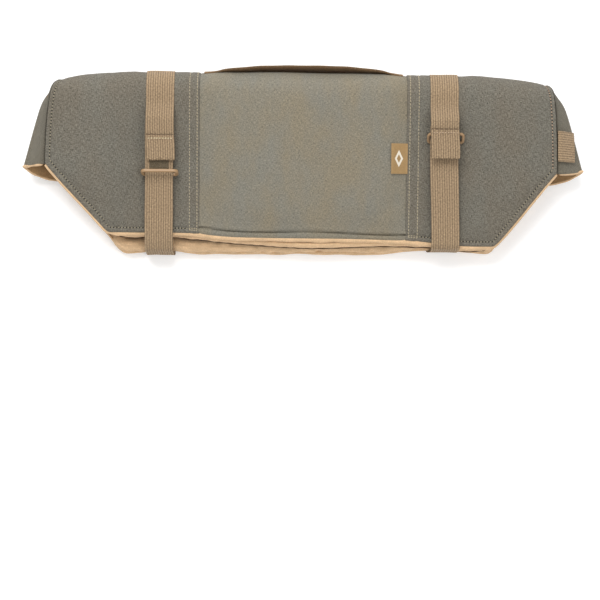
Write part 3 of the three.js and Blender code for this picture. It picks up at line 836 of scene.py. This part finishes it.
def gusset_relief(down, turn, sign):
    """How far a gusset's fabric lies off its grid, and how full its layers are, 1 where they are thickest."""
    soft = 0.6 * waves(down * 80, turn * 60, 51 + sign, (24, 60)) * np.sin(math.pi * turn)
    soft = soft + 0.9 * bump(turn - 0.25, 0.12) * np.sin(math.pi * np.clip(down * 1.1 - 0.1, 0, 1))
    soft = soft - 0.5 * bump(turn - 0.43, 0.03) * down
    thin = 0.12 + 0.88 * smooth(np.abs(turn - 0.5) / 0.13)  # layers close up at the fold
    thin = thin * (0.25 + 0.75 * smooth(down * 3))  # and beside the ridge
    return soft[..., None], thin[..., None]


def gusset(side, sign):
    """A folded end: its fabric, its lining in a darker lining colour as painted shade, the lining's rim at the
    mouth, and a dark tube along the front seam as painted shadow in the valley there.
    """
    points, down, turn = gusset_grid(sign)
    normal = facing(points, sign)
    soft, thin = gusset_relief(down, turn, sign)
    skin_in = soft * thin - 1.2 * thin
    uv = np.stack([turn, down], -1) * GUSSET_FLAT
    flip = sign < 0
    outside, inside = points + normal * soft * thin, points + normal * skin_in
    skin = closed_sheet(f"{side}_gusset", outside, inside, uv, GUSSET, flip)
    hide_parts(*[f"{side}_gusset_{part}" for part in ("top", "front", "back")])
    dip = 2.2 * (1 - smooth(turn / 0.4)) * (1 - smooth((down - 0.45) / 0.2))
    face = points + normal * (skin_in - 0.25 * thin)
    face[..., 2] -= dip
    back_face = face - normal * 1.3 * thin
    lined = slice(LINING_START, None)
    # the gusset's lining takes the darker lining colour: painted shade of the hollow
    lining = closed_sheet(f"{side}_gusset_lining", face[lined], back_face[lined], uv[lined], SHADED_LINING,
                          flip)
    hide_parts(*[f"{side}_gusset_lining_{part}" for part in ("top", "front", "back")])
    rim_line = (points + normal * (skin_in - 0.2 * thin))[-1, 1:-1]
    rim = soft_tube(f"{side}_gusset_rim", rim_line, (1.35, 1.35), 61 + sign, LINING)
    # a dark tube in the valley along the front seam: painted shadow
    seam_shadow_line = points[2:-1, 0] + np.array((-sign * 0.5, 0, 0.9))
    seam = soft_tube(f"{side}_end_seam_shadow", seam_shadow_line, (0.6, 0.8), 65 + sign, SEAM_SHADE, around=10)
    for piece in (skin, lining, rim, seam):
        bend_with_cover(piece, *GUSSET_BEND)


for side, sign in ENDS:
    gusset(side, sign)


# ---- topstitching ------------------------------------------------------------------------------
def stitch_row(name, path, up, material, radius=THREAD, pitch=STITCH_PITCH, length=STITCH_LENGTH, sunk=0.0):
    """Stitches end to end along a path of close points; up is the cloth's normal at each of them."""
    travelled = travel(path)
    count = int(travelled[-1] / pitch)
    draw = np.random.default_rng(len(path) + count)
    start = (np.arange(count) + 0.5) * travelled[-1] / count - length / 2
    start = start + draw.normal(0, 0.08, count)
    shares = np.array((0, 0.12, 0.35, 0.65, 0.88, 1))
    width = np.array((0.35, 0.85, 1, 1, 0.85, 0.35))
    sink = np.array((-0.34, -0.08, 0.1, 0.1, -0.08, -0.34)) - sunk
    place = start[:, None] + shares * length
    centre, above = read_along(place, travelled, path), normalized(read_along(place, travelled, up))
    along = centre[:, -1] - centre[:, 0]
    side = normalized(np.cross(above, along[:, None]))
    slant = side * (shares[:, None] - 0.5) * 0.25
    centre = centre + above * sink[:, None] + slant
    angle = np.linspace(0, math.tau, 8, endpoint=False)
    spoke = side[:, :, None] * np.cos(angle)[:, None] + above[:, :, None] * 0.8 * np.sin(angle)[:, None]
    rings = centre[:, :, None] + spoke * radius * width[:, None, None]
    block = len(shares) * len(angle)
    one = tube_faces(len(shares), len(angle))
    faces = [[v + n * block for v in face] for n in range(count) for face in one]
    v = np.broadcast_to(place[:, :, None], rings.shape[:3])
    u = np.broadcast_to(angle * radius, rings.shape[:3])
    return mesh_object(name, rings.reshape(-1, 3), faces, np.stack([u, v], -1).reshape(-1, 2), material)


def on_cloth(x, t, height_at, lift=0.12):
    """Points just over a panel's fabric, and its normal at each of them."""
    height = height_at(x, t)
    return over(x, t, height + lift), over(x, t, height + 1) - over(x, t, height)


def seam_stitches(side, sign):
    """Two rows beside the seam of a side panel, and the bar tacks across their lower ends."""
    places = [float(of_side(pair, sign)) for pair in SEAM_STITCHES]
    for number, place in enumerate(places, 1):
        x = sign * (SEAM_X + place) * np.ones(700)
        front, back = lowest_t(x[:1])
        t = np.linspace(front[0] + 3.2, back[0] - 3.2, 700)
        line = on_cloth(x, t, side_height)
        row = stitch_row(f"{side}_seam_stitches_{number}", *line, PALE_THREAD, length=2.4)
        bend_with_cover(row, *SKIN_BEND)
    for number, rise in enumerate((3.4, 5.0), 1):
        x = sign * (SEAM_X + np.linspace(places[0] - 0.6, places[1] + 0.6, 40))
        t = lowest_t(x)[0] + rise
        line = on_cloth(x, t, side_height)
        row = stitch_row(f"{side}_bar_tack_{number}", *line, PALE_THREAD, pitch=2.0, length=1.7)
        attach(row, "front_cover")


def border_stitches(side, sign):
    """Rows along the front's lower edge, the back's, and over the ridge at the end of the cover."""
    x = sign * np.linspace(SEAM_X + of_side(SEAM_STITCHES[1], sign) + 1, HALF_LENGTH - END_STITCH, 600)
    front, back = lowest_t(x)
    low = front + EDGE_STITCH * np.sqrt(1 + slope_of(FRONT_EDGE, x) ** 2)
    high = back - EDGE_STITCH * np.sqrt(1 + slope_of(BACK_EDGE, x) ** 2)
    end = np.linspace(low[-1], high[-1], 1400)
    end_x = np.full(len(end), x[-1])
    end_thread = GREY_THREAD if side == "left" else TAN_THREAD
    rows = (("front", x, low, GREY_THREAD), ("back", x, high, GREY_THREAD), ("end", end_x, end, end_thread))
    for part, row_x, row_t, thread in rows:
        line = on_cloth(row_x, row_t, side_height)
        row = stitch_row(f"{side}_{part}_stitches", *line, thread, length=1.75, radius=0.5)
        # dark dashes between the stitches: painted shade in the needle holes
        hole_shadows = stitch_row(f"{side}_{part}_needle_hole_shadows", *needle_gaps(line), HOLE_SHADE, length=1.5, radius=0.66,
                           sunk=0.1)
        for piece in (row, hole_shadows):
            bend_with_cover(piece, *SKIN_BEND)


def needle_gaps(line):
    """The same line begun half a stitch later, so that the painted shade of the needle holes falls between its
    stitches.
    """
    path, up = line
    travelled = travel(path)
    count = int(travelled[-1] / STITCH_PITCH)
    skip = travelled[-1] / count / 2
    inside = (travelled >= skip) & (travelled <= travelled[-1] - skip)
    return path[inside], up[inside]


for side, sign in ENDS:
    seam_stitches(side, sign)
    border_stitches(side, sign)


# ---- webbing -----------------------------------------------------------------------------------
TILT = math.atan(FALL)
FINE_STEP = 0.25  # spacing of the places at which eased() rounds a line


def on_face(up, stand):
    """y and z of a place on the front panel's plane: up its slope from the hinge, standing off it."""
    y = HINGE_Y + up * math.cos(TILT) - stand * math.sin(TILT)
    z = TOP_Z + up * math.sin(TILT) + stand * math.cos(TILT)
    return y, z


def up_slope(y):
    """Place up the front panel's slope of a height y."""
    return (y - HINGE_Y) / math.cos(TILT)


def arc(centre_y, centre_z, radius, first, last, count):
    """Places along an arc between two angles in degrees."""
    angles = np.radians(np.linspace(first, last, count))
    return [(centre_y + radius * math.cos(a), centre_z + radius * math.sin(a)) for a in angles]


def eased(points, step=1.2, soften=2.0):
    """Close points along a bent line, its corners rounded."""
    points = np.array(points)
    travelled = travel(points)
    line = read_along(np.arange(0, travelled[-1], FINE_STEP), travelled, points)
    reach = int(soften / FINE_STEP)
    kernel = np.hanning(2 * reach + 1)
    kernel = kernel / kernel.sum()
    padded = np.concatenate([2 * line[0] - line[reach:0:-1], line, 2 * line[-1] - line[-2:-reach - 2:-1]])
    line = np.stack([np.convolve(padded[:, k], kernel, "valid") for k in range(line.shape[1])], -1)
    stride = max(1, round(step / FINE_STEP))
    return np.concatenate([line[:-1:stride], line[-1:]])


def across_webbing(width):
    """Stations over the width, and the half thickness at each of them with its lengthwise ribs."""
    u = np.linspace(-1, 1, RIBS * 4 + 1)
    u = np.concatenate([[-1.0, -0.995, -0.98], u[1:-1], [0.98, 0.995, 1.0]])
    u = np.unique(np.round(u, 4))
    rim = np.sqrt(np.clip(1 - ((np.abs(u) - 0.955) / 0.045).clip(0, 1) ** 2, 0.02, 1))
    rib = np.abs(np.sin((u + 1) * RIBS * math.pi / 2))
    return u * width / 2, rim, 0.16 * np.sqrt(rib) - 0.1


def webbing(name, path, x, material, thick=WEBBING, outward=1, seed=1, axis=0, sink=0.0):
    """A strip of webbing. path holds y and z for axis 0, or x and y for axis 2, the direction of its width.
    sink lowers the places of the strip, rows along it and columns across."""
    tangent = normalized(np.gradient(path, axis=0))
    normal = outward * np.stack([-tangent[:, 1], tangent[:, 0]], -1)
    u, rim, rib = across_webbing(WEBBING_WIDTH)
    v, across = np.meshgrid(travel(path), u, indexing="ij")
    uneven = 0.16 * waves(v, 0, seed, (18, 60), 5) + 0.1 * waves(v, across, seed + 1, (12, 40), 5)
    cupped = -0.25 * (2 * across / WEBBING_WIDTH) ** 2
    half = (thick / 2 + rib) * rim
    wide = across * (1 + 0.006 * waves(v, 0, seed + 2, (25, 70), 4))
    wide = wide + np.broadcast_to(x, v.shape[:1])[:, None]

    def side(height):
        in_plane = path[:, None] + normal[:, None] * height[..., None]
        in_plane[..., 1] -= sink
        first, second = in_plane[..., 0], in_plane[..., 1]
        return np.stack([wide, first, second] if axis == 0 else [first, second, wide], -1)

    uv = np.stack([across, v], -1)
    middle = uneven + cupped
    return closed_sheet(name, side(middle + half), side(middle - half), uv, material, flip=outward < 0)


# hinge, hem, free, ring and loops are heights y, level is how far a strap's end stands off the front. aside,
# shift, skew and drift move the parts of a strap sideways, raised lifts its turn at the mouth, and lean (in
# degrees), nudge and thick are the ring's
SIDES = {
    "left": {
        "sign": -1, "hinge": 24.8, "hem": 21.8, "free": 0.2, "level": 7.0, "loops": -10.6, "shift": 0.6,
        "aside": -1.2, "skew": 1.2, "drift": -0.4, "raised": 0.0,
        "ring": -11.6, "lean": 68, "nudge": -0.5, "thick": 2.9,
    },
    "right": {
        "sign": 1, "hinge": 31.8, "hem": 28.8, "free": 3.8, "level": 10.4, "loops": 5.3, "shift": 0.0,
        "aside": -1.2, "skew": 1.0, "drift": 2.6, "raised": 4.6,
        "ring": 20.8, "lean": 38, "nudge": 0.0, "thick": 2.4,
    },
}
OVER = WEBBING / 2 + 0.3  # a strap's middle over the fabric it lies on
MOUTH_Y = -84.35  # lowest place of a strap
JOIN_Y = -70.0  # where the back run ends and the lower run begins
LOOP_LEVEL = 4.05  # the lower run's middle over the front
HINGE_REACH = 4.0  # a strap's end begins this far above its hinge


def upper_strap(side, sign, hinge, level, shift, aside, **_):
    """From the hinge of the strap's end over the ridge and down the back."""
    path = [on_face(up_slope(hinge) + HINGE_REACH, level), on_face(-22, level), on_face(-12, OVER + 1)]
    path += [on_face(-8, OVER), on_face(-0.8, OVER)]
    path += arc(HINGE_Y + sway(sign * STRAP_X), MIDDLE_Z, RIDGE_RADIUS + OVER, 88, -88, 30)
    path += [(HINGE_Y - 3, WEBBING / 2), (JOIN_Y, WEBBING / 2)]
    line = eased(path, soften=5.0)
    x = sign * STRAP_X + aside + shift * smooth((line[:, 1] - 20) / 20)
    piece = webbing(f"{side}_strap", line, x, WEB, outward=1, seed=70 + sign)
    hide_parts(f"{side}_strap_back", f"{side}_strap_upper")
    bend_with_cover(piece, SKIN_BEND[0] + OVER, SKIN_BEND[1] + OVER)


def mouth_drift(line, drift):
    """Keeps a strap that wanders sideways on the front in line where it turns under the mouth."""
    return drift * smooth((line[:, 1] - 0.7) / 9.3) * (line[:, 1] <= 10)


def lower_strap(side, sign, drift, aside, raised, **_):
    """From the back round the mouth and up the front."""
    turn, top = up_slope(-73.2), up_slope(31.8)
    mouth = MOUTH_Y + raised
    path = [(JOIN_Y - 0.05, WEBBING / 2), (mouth + 3, WEBBING / 2)]
    path += arc(mouth + 2, WEBBING / 2 + 2, 2, -80, -180, 8)
    path += [(mouth, 9), (mouth + 2 - 0.35 * raised, 16.2), on_face(turn - 9 + 0.7 * raised, -3)]
    path += [on_face(turn - 6.5 + 0.5 * raised, 2.05), on_face(turn, LOOP_LEVEL), on_face(top, LOOP_LEVEL)]
    line = eased(path, soften=1.6)
    front_drift = drift * smooth((20 - line[:, 0]) / 100) * (line[:, 1] > 10)
    x = sign * STRAP_X + aside + front_drift + mouth_drift(line, drift)
    piece = webbing(f"{side}_strap_lower_run", line, x, WEB, outward=-1, seed=80 + sign)
    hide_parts(f"{side}_strap_lower")
    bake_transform(piece)


def strap_end(side, sign, hinge, hem, free, level, shift, aside, skew, **_):
    """The strap's end, folded out over itself and sewn down in a hem."""
    turn, top = up_slope(free), level + WEBBING + 0.12
    path = [on_face(up_slope(hinge) + HINGE_REACH, level), on_face(turn + 1.2, level)]
    radius = 0.72
    for a in np.radians((-60, -30, 0, 30, 60)):
        path.append(on_face(turn + 0.7 - radius * math.cos(a), level + 0.7 + radius * math.sin(a)))
    path += [on_face(turn + 2, top), on_face(up_slope(hem) - 4, top), on_face(up_slope(hem), top + 0.5)]
    line = eased(path, step=0.75, soften=0.7)
    drift = skew * smooth((30 - line[:, 0]) / 25)
    middle = sign * STRAP_X + aside + shift
    piece = webbing(f"{side}_folded_end", line, middle + drift, WEB, outward=-1, seed=90 + sign)
    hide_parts(f"{side}_strap_end")
    across_hinge(piece)
    x = np.linspace(-WEBBING_WIDTH / 2 + 1.4, WEBBING_WIDTH / 2 - 1.4, 60)
    up = np.tile((0, -math.sin(TILT), math.cos(TILT)), (60, 1))
    bow = -0.3 * (x / 12) ** 2
    y, z = on_face(up_slope(hem - 3.0), top + WEBBING / 2 + 0.42 + bow)
    thread = HEM_THREAD if side == "left" else TAN_THREAD
    line = np.stack([middle + x + skew * 0.4, y, z], -1)
    row = stitch_row(f"{side}_hem_stitches", line, up, thread, pitch=2.3, length=1.85, radius=0.52)
    # a thin dark tube along the hem's cut end: painted shadow at the step of the folded layer
    y, z = on_face(up_slope(hem) + 0.1, top + 0.45 + bow)
    line = np.stack([middle + x * 1.1, y, z], -1)
    shadow_tube = soft_tube(f"{side}_hem_edge_shadow", line, (0.5, 0.62), 95, HEM_EDGE_SHADE, 10)
    for piece in (row, shadow_tube):
        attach(piece, f"{side}_end")


def across_hinge(piece):
    """Bakes a strap end's placing into its mesh."""
    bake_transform(piece)


def patch(name, x, low, high, stand, width, node, body, seed):
    """A rectangle of hook or loop pile, thinner at its edges, on the slope of the front panel."""
    thick, rim = 0.5, (0, 0.3, 0.8)
    u, v = np.meshgrid(spread(-width / 2, width / 2, 0.9, rim), spread(low, high, 0.9, rim))
    draw = np.random.default_rng(seed)
    pile = draw.uniform(-0.22, 0.3, u.shape)
    edge = np.minimum(width / 2 - np.abs(u), np.minimum(v - low, high - v))
    pile = pile * smooth(edge / 0.8) - 0.25 * (1 - smooth(edge / 0.8))
    wander = draw.normal(0, 0.12, u.shape)

    def side(height):
        y, z = on_face(v, stand + height)
        return np.stack([x + u + wander, y, z], -1)

    piece = closed_sheet(name, side(thick / 2 + pile), side(-thick / 2), np.stack([u, v], -1), SHADED_PILE)
    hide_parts(node)
    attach(piece, body)


def patches(side, sign, hem, free, level, loops, shift, aside, **_):
    """Hook pile under the strap's end, and loop pile on the lower run."""
    x = sign * STRAP_X + aside
    hook_stand, loop_stand = level - WEBBING / 2 - 0.45, LOOP_LEVEL + WEBBING / 2 + 0.42
    patch(f"{side}_hook_pile", x + shift, up_slope(free + 2), up_slope(hem - 3), hook_stand, 20,
          f"{side}_hook_patch", f"{side}_end", 101)
    patch(f"{side}_loop_pile", x, up_slope(loops), up_slope(27.8), loop_stand, 17,
          f"{side}_loop_patch", "front_cover", 103)


RING_WIDTH, RING_HEIGHT, RING_BAR, RING_CORNER = 33.5, 12.4, 2.6, 4.0
RING_HALF = np.array((RING_WIDTH - RING_BAR, RING_HEIGHT - RING_BAR)) / 2  # to the middle of its bars


def squared(c):
    """Makes a circle's cosine or sine into that of a rounded square."""
    return np.sign(c) * np.abs(c) ** 0.72


def ring_line():
    """Even places along the middle of a ring's bars, and how far along each of them lies."""
    radius = RING_CORNER - RING_BAR / 2
    line = []
    for a in np.linspace(0, math.tau, 96, endpoint=False):
        outward = np.array((math.cos(a), math.sin(a)))
        line.append((RING_HALF - radius) * np.sign(outward) + radius * outward)
    line = np.array(line + [line[0]])
    travelled = travel(line)
    even = np.linspace(0, travelled[-1], 120, endpoint=False)
    return read_along(even, travelled, line), even


def ring(side, sign, ring, lean, nudge, thick, **_):
    """A flat moulded loop round the lower strap, its section a rounded square."""
    line, even = ring_line()
    tangent = normalized(np.roll(line, -1, 0) - np.roll(line, 1, 0))
    out = np.stack([tangent[:, 1], -tangent[:, 0]], -1)
    rows, columns = len(line), 20
    angle = np.linspace(0, math.tau, columns, endpoint=False)
    wide, high = squared(np.cos(angle)) * RING_BAR / 2, squared(np.sin(angle)) * thick / 2
    plan = line[:, None] + out[:, None] * wide[None, :, None]
    lean = math.radians(lean)
    centre = RING_HALF[1] * math.sin(lean) + thick / 2 + 0.49
    up = up_slope(ring) + plan[..., 1] * math.cos(lean) - high * math.sin(lean)
    y, z = on_face(up, centre + plan[..., 1] * math.sin(lean) + high * math.cos(lean))
    points = np.stack([sign * STRAP_X + nudge + plan[..., 0], y, z], -1).reshape(-1, 3)
    faces = grid_faces(rows + 1, columns, wrap=True) % (rows * columns)
    uv = np.stack(np.broadcast_arrays(even[:, None], angle[None, :] * 1.3), -1).reshape(-1, 2)
    piece = mesh_object(f"{side}_ring", points, faces, uv, PLASTIC)
    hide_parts(f"{side}_keeper_ring")
    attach(piece, f"{side}_ring")


for side, sizes in SIDES.items():
    upper_strap(side, **sizes)
    lower_strap(side, **sizes)
    strap_end(side, **sizes)
    patches(side, **sizes)
    ring(side, **sizes)


# ---- handle, label and pull tab ----------------------------------------------------------------
HANDLE_HALF, HANDLE_RISE, HANDLE_BASE = 88.0, 5.4, 79.75
HANDLE_THICK = 1.5


def handle():
    """The webbing handle, sewn in at both ends: two halves that meet at the top of its arch."""
    u = across_webbing(WEBBING_WIDTH)[0]
    for side, sign in ENDS:
        x = np.linspace(0, HANDLE_HALF + 1.5, 76)
        arch = 1 - (x / HANDLE_HALF) ** 2
        y = HANDLE_BASE + HANDLE_RISE * arch + 0.25 * np.sin(x / 17)
        y = y - 0.5 * smooth((x - 80) / 9) if sign > 0 else y + 0.6 * smooth((x - 55) / 34)
        droop = 3.9 * np.clip(arch, 0, 1)[:, None] ** 0.6 * (0.5 - u / WEBBING_WIDTH)
        aback = 4.5 * smooth((x - 55) / 28)
        wrap = RIDGE_RADIUS - np.sqrt(RIDGE_RADIUS**2 - (u - aback[:, None]) ** 2)
        wrap = wrap * smooth((x[:, None] - 70) / 15)
        piece = webbing(f"handle_{side}_half", np.stack([sign * x, y], -1), MIDDLE_Z - aback, DARK_SHADED_HANDLE_WEB,
                        thick=HANDLE_THICK, outward=sign, seed=110, axis=2, sink=droop + wrap)
        if side == "left":
            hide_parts("carry_handle")
        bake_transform(piece)


def label():
    """A satin label folded at its free edge and caught in the seam."""
    low, high, bottom, top = 79.0, 94.0, -10.2, 17.0
    rim = (0, 0.25, 0.6, 1.2)
    x, y = np.meshgrid(spread(low, high, 1.2, rim), spread(bottom, top, 1.2, rim))
    t = front_t(y)
    rest = centre_height(x, t) * smooth((94.5 - x) / 2) + 0.35
    curl = 0.9 * smooth((88 - x) / 10) * (0.6 + 0.4 * np.cos((y - 5) / 9))
    curl = curl + 0.2 * np.sin(y / 5) * smooth((90 - x) / 8)
    edge = np.minimum(np.minimum(y - bottom, top - y), x - low)
    half = 0.42 * np.sqrt(np.clip(edge / 0.5, 0.06, 1))
    half = half + 0.12 * smooth((84 - x) / 4) * smooth(edge / 1.5)
    middle = rest + curl + 0.5
    uv = np.stack([x - low, y - bottom], -1)
    piece = closed_sheet("folded_label", over(x, t, middle + half), over(x, t, middle - half), uv, LABEL)
    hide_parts("side_label")
    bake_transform(piece)


TAB_LOW, TAB_HIGH, TAB_LENGTH, TAB_THICK = 1.2, 28.4, 14.5, 1.25  # heights y of its edges, and its sizes


def tab_lie(heights):
    """x and z where the tab lies on the right gusset: rows away from its seam, a column for each height."""
    points, _, _ = gusset_grid(1, rows=161, columns=121)
    skin = [points[:, k] for k in range(2, 50)]
    lines = []
    for y in heights:
        line = np.array([[np.interp(-y, -column[:, 1], column[:, k]) for k in (0, 2)] for column in skin])
        line = np.vstack([line, 5 * line[-1] - 4 * line[-4]])  # carried straight on, where the tab is longer
        stations = np.linspace(0.2, TAB_LENGTH + 0.125 * (y - TAB_LOW), 22)
        lines.append(read_along(stations, travel(line), line))
    return np.stack(lines, 1)


def doubled(lie):
    """Path of the tab's webbing: out over its lie, round its folded end and back underneath."""
    tangent = normalized(np.gradient(lie, axis=0))
    normal = np.stack([-tangent[..., 1], tangent[..., 0]], -1)
    normal *= np.sign(normal[..., 1:])
    inner, outer = 1.7, 1.7 + TAB_THICK + 0.15
    middle, reach = (outer + inner) / 2, (outer - inner) / 2
    layers = [lie + normal * outer]
    for turn in np.radians((60, 20, -20, -60)):
        fold = normal * (middle + reach * math.sin(turn)) + tangent * 1.3 * reach * math.cos(turn)
        layers.append((lie + fold)[-1:])
    layers.append((lie + normal * inner)[::-1])
    return np.concatenate(layers)


def pull_tab():
    """A doubled tab of webbing sewn into the right end seam and lying on the gusset."""
    u, rim, rib = across_webbing(TAB_HIGH - TAB_LOW)
    up = np.clip((TAB_LOW + TAB_HIGH) / 2 + u, TAB_LOW, TAB_HIGH)
    path = doubled(tab_lie(up))
    run = normalized(np.gradient(path, axis=0))
    out = np.stack([-run[..., 1], run[..., 0]], -1)
    out *= np.sign(out[:1, :, 1:])
    v, across = np.meshgrid(travel(path[:, 0]), u, indexing="ij")
    half = ((TAB_THICK / 2 - 0.06 + rib) * rim)[None, :, None]
    drop = 0.03 * (path[..., 0] - path[0, 0, 0])

    def side(place):
        return np.stack([place[..., 0], np.broadcast_to(up, v.shape) - drop, place[..., 1]], -1)

    piece = closed_sheet("folded_pull_tab", side(path + out * half), side(path - out * half),
                         np.stack([across, v], -1), WEB)
    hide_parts("pull_tab")
    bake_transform(piece)


handle()
label()
pull_tab()


# ---- floor, light and camera -------------------------------------------------------------------
FLOOR_HALF, FLOOR_Z = 12.0, -0.0004  # metres, as all places below
FLOOR_GLOW, SKY_LIGHT = 0.16, 0.72
LAMPS = (("key", (-0.35, 1.1, 1.5), 1.0, 26), ("fill", (0.9, -0.6, 1.6), 1.4, 7))  # name, place, size, watts
CAMERA_PLACE, CAMERA_TURN, CAMERA_LENS = (-0.0015, -0.1252, 1.53), 0.5, 100


def white_floor():
    mesh = bpy.data.meshes.new("floor")
    corners = [(a * FLOOR_HALF, b * FLOOR_HALF, FLOOR_Z) for a, b in ((-1, -1), (1, -1), (1, 1), (-1, 1))]
    mesh.from_pydata(corners, [], [(0, 1, 2, 3)])
    floor = linked("floor", mesh)
    paint = bpy.data.materials.new("floor_white")
    paint.use_nodes = True
    inputs = paint.node_tree.nodes["Principled BSDF"].inputs
    inputs["Base Color"].default_value = (0.97, 0.97, 0.97, 1)
    inputs["Roughness"].default_value = 0.9
    inputs["Specular IOR Level"].default_value = 0.1
    inputs["Emission Color"].default_value = (1, 1, 1, 1)
    inputs["Emission Strength"].default_value = FLOOR_GLOW
    mesh.materials.append(paint)


def lights():
    world = bpy.data.worlds.new("studio")
    world.use_nodes = True
    background = world.node_tree.nodes["Background"].inputs
    background["Color"].default_value = (1, 1, 1, 1)
    background["Strength"].default_value = SKY_LIGHT
    bpy.context.scene.world = world
    for name, place, size, power in LAMPS:
        lamp = bpy.data.lights.new(name, "AREA")
        lamp.size = size
        lamp.energy = power
        made = linked(name, lamp)
        made.location = place
        made.rotation_euler = (-Vector(place)).to_track_quat("-Z", "Y").to_euler()


def camera():
    """Looks straight down, from beyond the mouth, so that the cover shows in the upper half of the picture."""
    lens = bpy.data.cameras.new("camera")
    lens.lens = CAMERA_LENS
    lens.clip_end = 20
    viewer = linked("camera", lens)
    viewer.location = CAMERA_PLACE
    viewer.rotation_euler = (0, 0, math.radians(CAMERA_TURN))
    bpy.context.scene.camera = viewer
    bpy.context.scene.view_settings.view_transform = "Standard"


white_floor()
lights()
camera()
